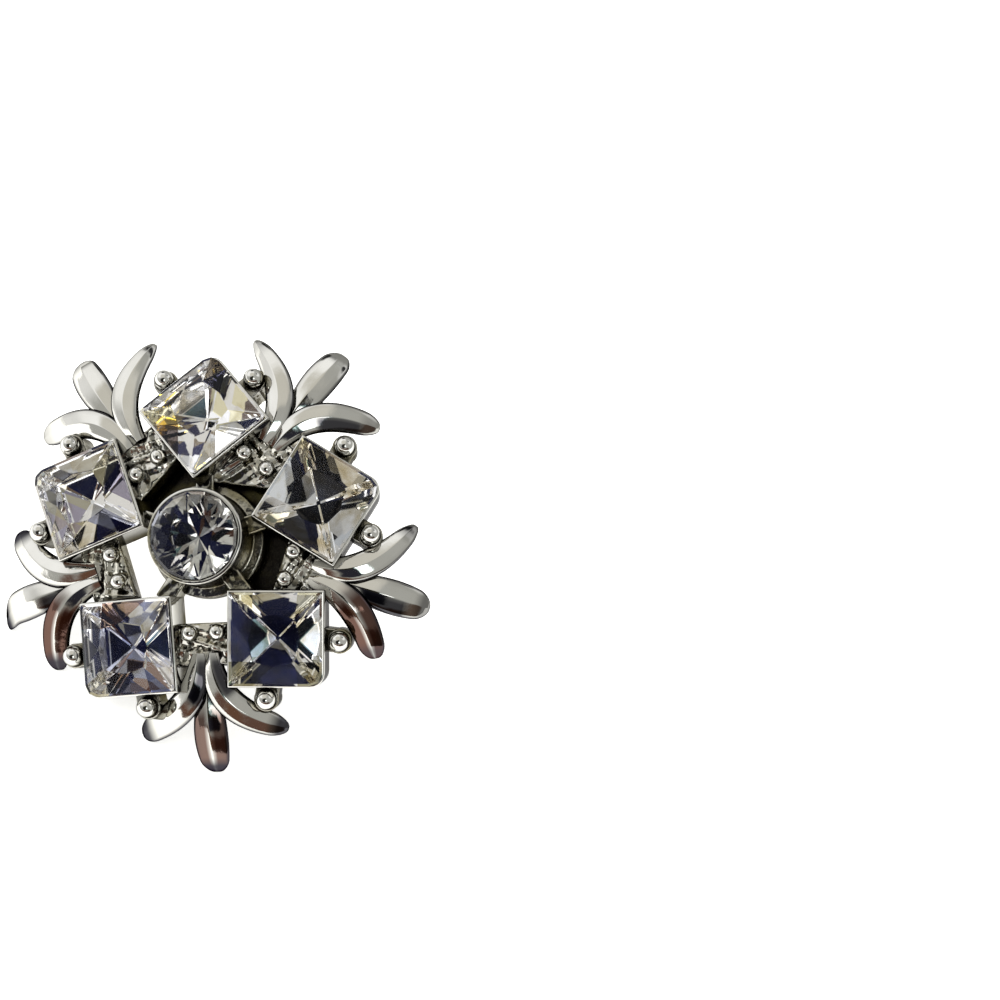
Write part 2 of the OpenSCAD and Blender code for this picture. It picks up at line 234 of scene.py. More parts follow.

# Rhodium over a cast white metal, barrelled and hand polished: a mirror with faint casting ripple.
# Where no wheel reaches it stays lumpy and dull under a yellow film. Deep in sheltered hollows it is
# painted nearly black as shade, and edges, backs, tips and some faces are painted dark grey as shade and
# dark reflection.
rhodiumSettings = {
    "bright": "#D9D8D3", "grazing": "#77777A", "film": "#877F5C", "paintedDark": "#34333A", "deep": "#15120F",
    "brown": "#54352A",
    "filmAmount": 0.85, "filmFrom": 0.3, "filmFull": 0.6, "paintedDarkAmount": 0.95,
    "deepAmount": 0.95, "deepFrom": 0.5, "deepFull": 0.12, "deepReach": 2.4,  # reach in mm
    "ripple": 1.3, "rippleDepth": 0.005, "lump": 0.55, "lumpDepth": 0.05,  # mm
    "blotches": 450,  # a metre: one in about 2 mm
    "gloss": 0.06, "dull": 0.24,
}

def rhodiumPlate(s):
    material, tree = newMaterial("rhodiumPlate")
    place = addNode(tree, "ShaderNodeTexCoord").outputs["Object"]
    ripple = addNode(tree, "ShaderNodeTexNoise", {"Scale": 1000 / s["ripple"], "Detail": 3},
                     {"Vector": place})
    lump = addNode(tree, "ShaderNodeTexNoise", {"Scale": 1000 / s["lump"], "Detail": 2}, {"Vector": place})
    blotch = addNode(tree, "ShaderNodeTexNoise", {"Scale": s["blotches"], "Detail": 4}, {"Vector": place})
    film = addNode(tree, "ShaderNodeAttribute", attribute_name="film").outputs["Fac"]
    edge = addNode(tree, "ShaderNodeAttribute", attribute_name="edge").outputs["Fac"]
    brown = addNode(tree, "ShaderNodeAttribute", attribute_name="brown").outputs["Fac"]
    shelter = addNode(tree, "ShaderNodeAmbientOcclusion", {"Distance": s["deepReach"] / 1000}, samples=6)
    patchy = addNode(tree, "ShaderNodeMapRange", {
        "From Min": s["filmFrom"], "From Max": s["filmFull"], "To Max": s["filmAmount"]},
        {"Value": blotch.outputs["Fac"]})
    filmMask = addNode(tree, "ShaderNodeMath", {}, {0: film, 1: patchy.outputs[0]}, operation="MULTIPLY")
    # Painted shade and dark reflection, as much as the mesh marks at each point
    paintedDarkMask = addNode(tree, "ShaderNodeMapRange", {"To Max": s["paintedDarkAmount"]}, {"Value": edge})
    # Painted shade: nearly black where the metal is sheltered, by ambient occlusion
    deepMask = addNode(tree, "ShaderNodeMapRange", {
        "From Min": s["deepFrom"], "From Max": s["deepFull"], "To Max": s["deepAmount"]},
        {"Value": shelter.outputs["AO"]})
    colour = addNode(tree, "ShaderNodeMix", {6: hexColour(s["bright"]), 7: hexColour(s["film"])},
                     {0: filmMask.outputs[0]}, data_type="RGBA")
    colour = addNode(tree, "ShaderNodeMix", {7: hexColour(s["brown"])}, {0: brown, 6: colour.outputs[2]},
                     data_type="RGBA")
    colour = addNode(tree, "ShaderNodeMix", {7: hexColour(s["paintedDark"])},
                     {0: paintedDarkMask.outputs[0], 6: colour.outputs[2]}, data_type="RGBA")
    colour = addNode(tree, "ShaderNodeMix", {7: hexColour(s["deep"])},
                     {0: deepMask.outputs[0], 6: colour.outputs[2]}, data_type="RGBA")
    rough = addNode(tree, "ShaderNodeMapRange", {"To Min": s["gloss"], "To Max": s["dull"]},
                    {"Value": filmMask.outputs[0]})
    lumpHeight = addNode(tree, "ShaderNodeMath", {}, {0: lump.outputs["Fac"], 1: film},
                         operation="MULTIPLY")
    bump = addNode(tree, "ShaderNodeBump", {"Strength": 1, "Distance": s["rippleDepth"] / 1000},
                   {"Height": ripple.outputs["Fac"]})
    bump = addNode(tree, "ShaderNodeBump", {"Strength": 1, "Distance": s["lumpDepth"] / 1000},
                   {"Height": lumpHeight.outputs[0], "Normal": bump.outputs[0]})
    return finishMaterial(material, addNode(
        tree, "ShaderNodeBsdfPrincipled", {"Metallic": 1, "Specular Tint": hexColour(s["grazing"])},
        {"Base Color": colour.outputs[2], "Roughness": rough.outputs[0], "Normal": bump.outputs[0]}))

# Lead crystal glass, machine cut and fire polished: clear, with a high gloss. The tint weakens what
# its face mirrors, so that the eye looks into the stone. Some facets carry a colour from the mesh that
# tints the glass: painted reflection and painted shade, light, dark or coloured as the facet would mirror.
def cutCrystal(name, mirrored):
    material, tree = newMaterial(name)
    paintedTint = addNode(tree, "ShaderNodeAttribute", attribute_name="paintedTint").outputs["Color"]
    return finishMaterial(material, addNode(tree, "ShaderNodeBsdfPrincipled", {
        "Specular Tint": hexColour(mirrored), "Roughness": 0, "IOR": 1.57, "Transmission Weight": 1},
        {"Base Color": paintedTint}))

foilSettings = {"spots": 380, "cloudFrom": 0.5, "cloudFull": 0.66, "gloss": 0.04}  # spots a metre

# Silver foil lacquered on the back of the stone: a mirror seen through the glass, gone cloudy in
# spots one in about 2.6 mm
def stoneFoil(name, bright, cloudy, s):
    material, tree = newMaterial(name)
    place = addNode(tree, "ShaderNodeTexCoord").outputs["Object"]
    spots = addNode(tree, "ShaderNodeTexNoise", {"Scale": s["spots"], "Detail": 3}, {"Vector": place})
    mask = addNode(tree, "ShaderNodeMapRange", {"From Min": s["cloudFrom"], "From Max": s["cloudFull"]},
                   {"Value": spots.outputs["Fac"]})
    colour = addNode(tree, "ShaderNodeMix", {6: hexColour(bright), 7: hexColour(cloudy)},
                     {0: mask.outputs[0]}, data_type="RGBA")
    return finishMaterial(material, addNode(
        tree, "ShaderNodeBsdfPrincipled", {"Metallic": 1, "Roughness": s["gloss"]},
        {"Base Color": colour.outputs[2]}))

# Nickel plate over stamped and turned brass, barrel polished, so a little softer than the front.
# Sheltered under the cluster it is painted nearly black as shade, with olive patches.
nickelSettings = {
    "bright": "#C3BFB3", "dulled": "#9A937E", "paintedBlack": "#1C1815", "olive": "#5A5433",
    "wear": 900, "patches": 380,  # a metre: one in about 1.1 and 2.6 mm
    "reach": 5, "scratchDepth": 0.01,  # mm
    "blackFrom": 0.62, "blackFull": 0.4, "oliveFrom": 0.5, "oliveFull": 0.68,
    "gloss": 0.12, "dull": 0.32,
}

def nickelPlate(s):
    material, tree = newMaterial("nickelPlate")
    place = addNode(tree, "ShaderNodeTexCoord").outputs["Object"]
    wear = addNode(tree, "ShaderNodeTexNoise", {"Scale": s["wear"], "Detail": 5}, {"Vector": place})
    patch = addNode(tree, "ShaderNodeTexNoise", {"Scale": s["patches"], "Detail": 3}, {"Vector": place})
    # Painted shade: where the cluster shelters it, its colour goes nearly black
    around = addNode(tree, "ShaderNodeAmbientOcclusion", {"Distance": s["reach"] / 1000}, samples=6)
    shelter = addNode(tree, "ShaderNodeMapRange", {"From Min": s["blackFrom"], "From Max": s["blackFull"]},
                      {"Value": around.outputs["AO"]})
    olive = addNode(tree, "ShaderNodeMapRange", {"From Min": s["oliveFrom"], "From Max": s["oliveFull"]},
                    {"Value": patch.outputs["Fac"]})
    rough = addNode(tree, "ShaderNodeMapRange", {"To Min": s["gloss"], "To Max": s["dull"]},
                    {"Value": wear.outputs["Fac"]})
    bare = addNode(tree, "ShaderNodeMix", {6: hexColour(s["bright"]), 7: hexColour(s["dulled"])},
                   {0: wear.outputs["Fac"]}, data_type="RGBA")
    dark = addNode(tree, "ShaderNodeMix", {6: hexColour(s["paintedBlack"]), 7: hexColour(s["olive"])},
                   {0: olive.outputs[0]}, data_type="RGBA")
    colour = addNode(tree, "ShaderNodeMix", {},
                     {0: shelter.outputs[0], 6: bare.outputs[2], 7: dark.outputs[2]}, data_type="RGBA")
    bump = addNode(tree, "ShaderNodeBump", {"Strength": 0.5, "Distance": s["scratchDepth"] / 1000},
                   {"Height": wear.outputs["Fac"]})
    return finishMaterial(material, addNode(
        tree, "ShaderNodeBsdfPrincipled", {"Metallic": 1},
        {"Base Color": colour.outputs[2], "Roughness": rough.outputs[0], "Normal": bump.outputs[0]}))

rhodium = rhodiumPlate(rhodiumSettings)
crystal = cutCrystal("cutCrystal", "#5C5E68")
squareFoil = stoneFoil("squareFoil", "#F5F5F6", "#D2CAB6", foilSettings)
centreFoil = stoneFoil("centreFoil", "#F3F3F0", "#C4BFB6", foilSettings)
print("materials made")


# Casting

# One row for each square setting, in degrees and mm
settingRows = [
    {"azimuth": 88.8, "out": 8.51, "twist": -4, "tilt": 12.8},
    {"azimuth": 16, "out": 8.51, "twist": -3, "tilt": 11.5},
    {"azimuth": -53.1, "out": 8.74, "twist": 6.5, "tilt": 10.3},
    {"azimuth": -124.5, "out": 8.92, "twist": -7.3, "tilt": 5.8},
    {"azimuth": 160.3, "out": 8.56, "twist": -5.3, "tilt": 5.4},
]
settingShape = {"side": 6.6, "wall": 0.3, "depth": 2.8, "floor": 0.25, "corner": 1, "rim": 0.15,
                "filmFrom": 0.25, "filmReach": 0.9, "paintedDark": 0.55}

# Brings a surface from a setting's rim plane, X outwards, to its place in the cluster
def inSetting(surface, row, twisted=True):
    turn = turnAbout("Z", row["azimuth"])
    matrix = turn @ turnAbout("Y", row["tilt"]) @ turnAbout("Z", row["twist"] if twisted else 0)
    return moved(surface, matrix, turn @ (row["out"], 0, 0))

# Corners of a square that stands on one corner, the outward one first
def squareCorners(side):
    reach = side / math.sqrt(2)
    return [(reach, 0), (0, reach), (-reach, 0), (0, -reach)]

# Open box with a rolled rim: up the outer wall, over the rim, down inside to the floor. Film and
# painted shade grow evenly with the depth under the rim.
def cupSurface(s):
    rim = s["rim"]
    profile = [(0.06, -s["depth"]), (0, 0.06 - s["depth"])]
    profile += roundEdge((rim, -rim), rim, 180, 90)
    profile += roundEdge((s["wall"] - 0.05, -0.05), 0.05, 90, 0)
    profile += [(s["wall"], s["floor"] - s["depth"])]
    radii = [s["corner"], 0.1, 0.1, 0.1]
    surface = closedTube(walled(squareCorners(s["side"]), radii, profile))
    film = np.clip((-surface[0][:, 2] - s["filmFrom"]) / s["filmReach"], 0, 1)
    return (*surface, film, s["paintedDark"] * film)

outerBeadShape = {
    "radius": 0.68, "out": 2.76, "aside": 3.17, "drop": 0.45, "stem": 0.476, "foot": 0.5,
    "filmFrom": 0.15, "filmReach": 0.45,
    "lobe": 0.85, "lobeTop": -0.85, "edge": 0.12, "slab": 0.4, "lobeFilm": 1, "lobeDark": 0.3,
}

# Ball that runs into a narrower stem below it, turned from a profile: an arc, then two straights
def ballSurface(radius, stem, foot):
    ball = roundEdge((0, 0), radius, 89, -46, 14)
    neck = [(stem, -radius * 0.86), (stem, foot)]
    return closedTube(turned(ball + neck, 32))

# The two balls outside a square setting, each on a round lobe with a slab from there to the setting
def outerBeads(s, depth):
    surfaces = []
    top, edge = s["lobeTop"], s["edge"]
    for hand in (-1, 1):
        place = (s["out"], hand * s["aside"], 0)
        ball = ballSurface(s["radius"], s["stem"], s["foot"] - depth)
        ball = moved(ball, shift=np.add(place, (0, 0, -s["drop"])))
        surfaces.append((*ball, np.clip((-ball[0][:, 2] - s["filmFrom"]) / s["filmReach"], 0, 1)))
        lobe = [(s["lobe"] - 0.05, -depth), (s["lobe"], 0.05 - depth)]
        lobe += roundEdge((s["lobe"] - edge, top - edge), edge, 0, 90)
        lobe += [(s["radius"] - 0.02, top - 0.06)]
        # Lobe and slab: yellow film all over and some painted shade
        surfaces.append((*moved(closedTube(turned(lobe, 32)), shift=place), s["lobeFilm"], s["lobeDark"]))
        inwards = turnAbout("Z", hand * 45 + 180)
        half, end = s["lobe"] - 0.05, s["lobe"] + s["slab"]
        corners = [(0, -half), (end, -half), (end, half), (0, half)]
        slab = [(0.05, 0.1 - depth), (0, 0.15 - depth)]
        slab += roundEdge((edge, top - 0.05 - edge), edge, 180, 90)
        slab = moved(closedTube(walled(corners, [0.05] * 4, slab)), inwards, place)
        surfaces.append((*slab, s["lobeFilm"], s["lobeDark"]))
    return surfaces

bezelShape = {
    "radius": 3.3, "wall": 0.35, "top": 1.5, "back": -2.7, "seat": -1.5, "waist": 0.1,
    "waistEnd": 0.9, "lip": 0.45,  # under its top
    "flange": 3.95, "flangeTop": -1.7, "edge": 0.12, "fillet": 0.18, "filmReach": 1.2,
}

# Turned bezel: flange, waisted wall, rim rolled over both ways, and the seat for the stone
def bezelSurface(s):
    r, edge, fillet = s["radius"], s["edge"], s["fillet"]
    neck = r - s["waist"]
    profile = [(s["flange"] - 0.08, s["back"]), (s["flange"], s["back"] + 0.08)]
    profile += roundEdge((s["flange"] - edge, s["flangeTop"] - edge), edge, 0, 90)
    profile += roundEdge((neck + fillet, s["flangeTop"] + fillet), fillet, 270, 180)
    profile += [(neck, s["top"] - s["waistEnd"])]
    profile += [(r - 0.02, s["top"] - s["lip"] - 0.1), (r, s["top"] - s["lip"])]
    profile += roundEdge((r - edge, s["top"] - edge), edge, 0, 90)
    profile += roundEdge((r - s["wall"] + edge, s["top"] - edge), edge, 90, 180)
    profile += [(r - s["wall"], s["seat"])]
    surface = closedTube(turned(profile, 96))
    # Film down its wall, and over the rim to the lower left, where its colour is a painted brownish
    # reflection
    x, y, z = surface[0].T
    down, aside = (s["top"] - z) / s["filmReach"], (-1.4 * x - y) / r - 0.2
    return (*surface, np.clip(np.maximum(down, aside), 0, 1))

webShape = {"start": 3.0, "half": 0.65, "low": -2.4, "top": -0.7, "lump": 0.09, "film": 0.9}

# The lumpy web that runs from the bezel out under a square setting
def webSurface(s, row):
    end, half = row["out"] - settingShape["side"] * 0.6, s["half"]
    corners = [(s["start"], -half), (end, -half), (end, half), (s["start"], half)]
    block = lumpyBlock(corners, [0.05] * 4, s["low"], s["top"], s["lump"], 0.55)
    return (*moved(block, turnAbout("Z", row["azimuth"])), s["film"])

bridgeShape = {
    "inner": 5.7, "outer": 8.6, "innerHalf": 2.3, "outerHalf": 1.8, "top": -0.8, "low": -2.4,
    "lump": 0.22, "film": 0.6,
    "ball": 0.58, "stem": 0.435, "foot": -0.95, "ballOut": 6.4, "ballAside": 0.97, "ballZ": -0.26,
    "filmFrom": -0.05, "filmReach": 0.4,
}

# The bridge behind a twig. A tongue draws its inner left corner out towards the bezel.
def bridgeSurfaces(s, row):
    turn = turnAbout("Z", row["azimuth"])
    corners = [(s["inner"], -s["innerHalf"]), (s["outer"], -s["outerHalf"]),
               (s["outer"], s["outerHalf"]), (s["inner"] - row.get("tongue", 0), s["innerHalf"])]
    block = lumpyBlock(corners, [0.1] * 4, s["low"], s["top"], s["lump"], 1.2)
    surfaces = [(*moved(block, turn), s["film"])]
    for hand in (-1, 1):
        ball = moved(ballSurface(s["ball"], s["stem"], s["foot"]),
                     shift=(s["ballOut"], hand * s["ballAside"], s["ballZ"]))
        film = np.clip((-ball[0][:, 2] - s["filmFrom"]) / s["filmReach"], 0, 1)
        surfaces.append((*moved(ball, turn), film))
    return surfaces

# One row for each twig: shift outwards, then for the prong to the left and the one to the right
# how far its tip moves ahead and aside and how blunt it is, the middle tip's bend aside, and if
# need be how far the bridge's tongue reaches, how dark the tips are painted as dark reflection, how browned
# a prong is and where a painted dark reflection blackens one face
twigRows = [
    {"azimuth": 54, "shift": 0.05, "left": (0.1, 0.65, 0.5), "right": (0, 0, 0.8), "bend": 0,
     "tongue": 2.45, "tips": 0.4, "paintedBlack": {"right": (-1, 0.45, 0.95)}},
    {"azimuth": -18, "shift": 0.15, "left": (0.3, 0, 0.6), "right": (0.35, -0.85, 0.9), "bend": 0,
     "tips": 0.7, "browned": {"right": 0.95}, "paintedBlack": {"middle": (-1, 0.3, 0.85)}},
    {"azimuth": -89, "shift": 0, "left": (0, 0, 0.75), "right": (0, 0, 0.95), "bend": 0,
     "browned": {"middle": 0.9}, "paintedBlack": {"left": (1, 0, 0.5), "right": (1, 0, 0.5)}},
    {"azimuth": -163, "shift": 0, "left": (0, -0.15, 0.85), "right": (0, 0, 0.85), "bend": 0.75,
     "browned": {"left": 0.95}, "paintedBlack": {"middle": (1, 0, 0.55)}},
    {"azimuth": 127, "shift": 0.45, "left": (0, 0, 0.85), "right": (0.35, 0, 0.5), "bend": 0,
     "tongue": 0.9, "tips": 0.25},
]
prongShape = {
    "root": 7.8, "midTip": 15.75, "sideTip": 12.95, "spread": 5.15, "rootAside": 0.45,  # mm
    "midWidth": 2.35, "sideWidth": 1.8, "rootWidth": 1.15, "thick": 1,  # mm
    "roof": 0.36, "fall": 0.26, "back": 0.98, "backRound": 0.42,  # shares of its thickness
    "fallFrom": 0.8, "fallOver": 0.2,  # shares of its half width
    "thins": 0.38, "capDrop": 0.35,  # the share it thins by along its length, and mm at its tip
    "capStart": 0.88, "bendStart": 0.8, "tipDarkFrom": 0.86, "fade": 0.08,  # shares of its length
    "brownFrom": 0.25, "brownOver": 0.2,
    # Film all over, and painted shade over the back
    "film": 0.12, "backDark": 0.5,
}

# Cubic through four control values, for a column of parameters t
def bezier(control, t):
    p = np.array(control, float)
    weights = np.stack([(1 - t) ** 3, 3 * t * (1 - t) ** 2, 3 * t ** 2 * (1 - t), t ** 3], -1)
    return weights @ p

# Its slope: a quadratic whose control values are three times the steps between those of the cubic
def bezierSlope(control, t):
    p = np.array(control, float)
    weights = np.stack([3 * (1 - t) ** 2, 6 * t * (1 - t), 3 * t ** 2], -1)
    return weights @ (p[1:] - p[:-1])

# A prong: its ridge runs along a curve, and across it lies a roof of two flat faces with a crisp
# ridge, a turned-down edge and a flat back. Across is (a, h) with a from -1 to 1:
# h = -roof (soft |a|) - fall (share past fallFrom)^2 above, and -back + backRound |a|^8 below.
# It is browned from about a third of its length on, but for the ridge. A painted dark reflection blackens
# one of its two faces, +1 or -1, from one share of its length to another, and its tip.
def prongSurface(s, plan, height, widths, bend, tips, browned, paintedBlack, rows=44):
    t = np.sin(np.linspace(0, math.pi / 2, rows))
    hook = np.clip((t - s["bendStart"]) / (1 - s["bendStart"]), 0, None) ** 2
    cap = np.sqrt(np.clip(1 - np.clip((t - s["capStart"]) / (1 - s["capStart"]), 0, None) ** 2, 0, 1))
    line = bezier(plan, t)
    line[:, 1] += bend * hook
    run = bezierSlope(plan, t)
    side = np.column_stack([-run[:, 1], run[:, 0]]) / np.linalg.norm(run, axis=1, keepdims=True)
    half = bezier(widths, t) * (0.2 + 0.8 * cap) / 2
    depth = s["thick"] * (1 - s["thins"] * t) * (0.45 + 0.55 * cap)
    upper = np.array([1, 0.95, 0.88, 0.8, 0.55, 0.3, 0.1, 0.03])
    upper = np.concatenate([upper, [0], -upper[::-1]])
    lower = np.array([-0.97, -0.8, -0.4, 0, 0.4, 0.8, 0.97])
    above = -s["roof"] * (np.sqrt(upper ** 2 + 0.0009) - 0.03)
    above -= s["fall"] * np.clip((np.abs(upper) - s["fallFrom"]) / s["fallOver"], 0, 1) ** 2
    below = -s["back"] + s["backRound"] * np.abs(lower) ** 8
    a, h = np.concatenate([upper, lower]), np.concatenate([above, below])
    across = line[:, None, :] + side[:, None, :] * (a * half[:, None])[..., None]
    up = (bezier(height, t) - (1 - cap) * s["capDrop"])[:, None] + h * depth[:, None]
    surface = closedTube(np.concatenate([across, up[..., None]], -1))
    # Painted dark reflection on the edges and tip, painted shade on the back, and a painted dark reflection
    # over one face
    edges = np.clip((np.abs(upper) - 0.78) / 0.16, 0, 1)
    paintedDark = np.concatenate([edges, np.full(len(lower), s["backDark"])])
    paintedDark = np.maximum(paintedDark, tips * np.clip((t[:, None] - s["tipDarkFrom"]) / s["fade"], 0, 1))
    # Painted dark reflection over one face, between two shares of its length
    hand, start, end = paintedBlack
    reach = np.clip((t - start) / s["fade"], 0, 1) * np.clip((end - t) / s["fade"], 0, 1)
    paintedDark = np.maximum(paintedDark, reach[:, None] * np.clip(hand * a / 0.12, 0, 1))
    paintedDark = np.append(paintedDark.ravel(), [1, tips])
    brown = browned * np.clip((t[:, None] - s["brownFrom"]) / s["brownOver"], 0, 1)
    brown = brown * np.clip((np.abs(a) - 0.05) / 0.1, 0, 1)
    return (*surface, s["film"], paintedDark, np.append(brown.ravel(), [browned, browned]))

# A twig's prongs: two that curve out to the left and right from near its root, and one straight out
# between them. Each follows a cubic in plan, in height and in width.
def twigSurfaces(s, row):
    turn = turnAbout("Z", row["azimuth"])
    place = turn @ (row["shift"], 0, 0)
    def grow(side, plan, height, widths, bend):
        browned = row.get("browned", {}).get(side, 0)
        paintedBlack = row.get("paintedBlack", {}).get(side, (0, 0, 0))
        prong = prongSurface(s, plan, height, widths, bend, row.get("tips", 1), browned, paintedBlack)
        return moved(prong, turn, place)
    prongs = []
    w = s["sideWidth"]
    for hand, side in ((1, "left"), (-1, "right")):
        ahead, aside, blunt = row[side]
        plan = [(s["root"], hand * s["rootAside"]), (10.7, hand * 0.5), (12.1, hand * 1.9),
                (s["sideTip"] + ahead, hand * (s["spread"] + aside))]
        widths = [s["rootWidth"], 1.3 * w, 1.3 * w, blunt * w]
        prongs.append(grow(side, plan, [-0.42, -0.2, -0.75, -2.6], widths, 0))
    w = s["midWidth"]
    plan = [(9, 0), (11.5, 0), (13.5, 0), (s["midTip"], 0)]
    widths = [1.2, 0.85 * w, 1.35 * w, 0.7 * w]
    prongs.append(grow("middle", plan, [-1.1, -0.9, -1.2, -3], widths, row["bend"]))
    return prongs

# All of the casting: the bezel, then setting by setting and twig by twig
def castingSurfaces():
    surfaces = [bezelSurface(bezelShape)]
    for row in settingRows:
        surfaces.append(inSetting(cupSurface(settingShape), row))
        beads = outerBeads(outerBeadShape, settingShape["depth"])
        surfaces += [inSetting(part, row, twisted=False) for part in beads]
        surfaces.append(webSurface(webShape, row))
    for row in twigRows:
        surfaces += bridgeSurfaces(bridgeShape, row) + twigSurfaces(prongShape, row)
    return surfaces

casting = joinedPiece("castSetting", castingSurfaces(), [rhodium])
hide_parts("cast_setting")
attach(casting, "root")
print("casting made:", len(casting.data.polygons), "faces")


# Stones

squareStone = {
    "half": 3.15, "ledge": 0.2, "small": 0.22,  # mm: half side, step in under the girdle, corner radius
    "girdleTop": 0.27, "girdleLow": 0.12, "crown": 1.12,  # heights over the setting's rim
    "table": 1.42, "apex": 1.75, "base": 0.48, "backEdge": 0.09, "frontEdge": 0.035,
    "slope": 42.5,  # degrees
}
roundStone = {"half": 3.02, "ledge": 0.22, "girdleTop": 0.2, "girdleLow": 0.1, "crown": 0.85, "table": 3.1,
              "turn": 8, "slope": 42.5}

# A stone from its points and its facets: crown facets are crystal, and those under the girdle foil.
# Some facets, by their number, get a colour: painted reflection and shade.
def stonePiece(name, points, facets, underGirdle, foil, paintedTint):
    mesh = bpy.data.meshes.new(name)
    mesh.from_pydata(onTable(points).tolist(), [], facets)
    mesh.materials.append(crystal)
    mesh.materials.append(foil)
    mesh.polygons.foreach_set("material_index", [int(i >= underGirdle) for i in range(len(facets))])
    facetTints = np.ones((len(facets), 4), np.float32)
    for colour, numbers in paintedTint.items():
        facetTints[numbers] = hexColour(colour)
    mesh.attributes.new("paintedTint", "FLOAT_COLOR", "FACE").data.foreach_set("color", facetTints.ravel())
    piece = bpy.data.objects.new(name, mesh)
    bpy.context.scene.collection.objects.link(piece)
    return piece

# Cuts a narrow flat along the edges of a square stone's table and of its side triangles. Its points 0
# to 19 are the girdle's upper rim and 60 to 67 the table's corners, the even ones the triangles' tips.
def breakEdges(piece, width):
    mesh = piece.data
    ends = np.empty(2 * len(mesh.edges), np.int32)
    mesh.edges.foreach_get("vertices", ends)
    low, high = np.sort(ends.reshape(-1, 2), axis=1).T
    atTable = (low >= 60) & (high < 68)
    beside = (low < 20) & (high >= 60) & (high < 68) & (high % 2 == 0)
    weights = (atTable | beside).astype(np.float32)
    mesh.attributes.new("bevel_weight_edge", "FLOAT", "EDGE").data.foreach_set("value", weights)
    flats = piece.modifiers.new("flats", "BEVEL")
    flats.width, flats.segments, flats.limit_method = width / 1000, 1, "WEIGHT"

# Points turned by quarter turns about the stone's middle, the four turns one after the other
def quarters(points):
    return np.vstack([np.asarray(points, float) @ turnAbout("Z", 90 * k).T for k in range(4)])

# Square stone. Its crown: an eight-sided table, and on each side a triangle that stands on the
# girdle with its tip at the table, with long facets from there round each corner. Under the girdle
# the foiled back is a pyramid.
def squareStoneFacets(s, cup):
    half, up = s["half"], np.array([0, 0, 1])
    base = half * s["base"]
    # Five points along each side: both ends of its triangle, and three round the corner after it
    def rim(inset):
        rows = []
        for k in range(4):
            r = max(cup["corner"] - 0.15 - inset if k == 0 else s["small"] - inset, s["backEdge"])
            turn = np.radians([0, 45, 90])
            arc = half - inset - r + r * np.column_stack([np.cos(turn), np.sin(turn)])
            side = [(half - inset, -base), (half - inset, base)]
            rows.append(np.column_stack([np.vstack([side, arc]), np.zeros(5)]) @ turnAbout("Z", 90 * k).T)
        return np.vstack(rows)
    inner = half - s["ledge"]
    table, edge = s["table"], s["backEdge"]
    foot = 1.6 * edge
    culet = s["girdleLow"] - (inner - foot) * math.tan(math.radians(s["slope"]))
    points = np.vstack([rim(0) + up * s["girdleTop"], rim(0) + up * s["girdleLow"],
                        rim(s["ledge"]) + up * s["girdleLow"],
                        quarters([(s["apex"], 0, s["crown"]), (table, table, s["crown"])]),
                        quarters([(foot, foot - edge, culet), (foot - edge, foot, culet)])])
    crown, side, pavilion = [], [], []
    for k in range(4):
        g = 5 * k
        after = (g + 5) % 20
        apex, corner, nextApex = 60 + 2 * k, 61 + 2 * k, 60 + (2 * k + 2) % 8
        crown += [[g, g + 1, apex], [apex, g + 1, corner], [g + 1, g + 2, corner], [g + 2, g + 3, corner],
                  [g + 3, g + 4, corner], [g + 4, after, corner], [corner, after, nextApex]]
        low, before = 40 + g, 40 + (g + 19) % 20
        tip, nextTip, tipBefore = 68 + 2 * k, 69 + 2 * k, 68 + (2 * k + 7) % 8
        pavilion += [[low + 2, low + 1, low, before, tipBefore, tip], [low + 3, low + 2, tip, nextTip],
                     [low + 4, low + 3, nextTip]]
    for j in range(20):
        after = (j + 1) % 20
        side.append([20 + j, 20 + after, after, j])
        pavilion.append([40 + j, 40 + after, 20 + after, 20 + j])
    crown.append([60 + j for j in range(8)])
    pavilion.append([75 - j for j in range(8)])
    return points, crown + side, pavilion

# The facets of each square stone given a colour: painted flashes of coloured light, and painted
# reflection and shade, pale or dark. Of each side's seven, the first is its triangle, the second and third
# lie after it and the rest round the corner. The table is 28.
squarePaintedTints = [
    {"#F6ECB4": [12, 13], "#3A2E2A": [14], "#0E0E1E": [1], "#4C4030": [2, 3]},
    {"#DCE6F4": [14, 15], "#A8A48E": [10, 11, 12]},
    {"#9CA0AE": [28], "#B0AC94": [2, 3, 4, 5, 11, 12, 16, 17, 23, 24, 26, 27]},
    {"#A4AACA": [28], "#8E6A5A": [21, 22], "#8E8A86": [0, 26], "#5A6084": [7, 9], "#CEC8AC": [3, 4, 5]},
    {"#807C66": [22, 23], "#6E6880": [21], "#F2E6C4": [8, 13, 14], "#84848E": [6], "#70748E": [15, 16]},
]

def makeSquareStone(index, row):
    points, upper, lower = squareStoneFacets(squareStone, settingShape)
    points = points @ turnAbout("Z", -45).T
    placed = inSetting((points,), row)[0]
    piece = stonePiece(f"squareStone{index}", placed, upper + lower, len(upper), squareFoil,
                       squarePaintedTints[index - 1])
    breakEdges(piece, squareStone["frontEdge"])
    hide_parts(f"square_stone_{index}")
    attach(piece, "root")

for index, row in enumerate(settingRows, 1):
    makeSquareStone(index, row)

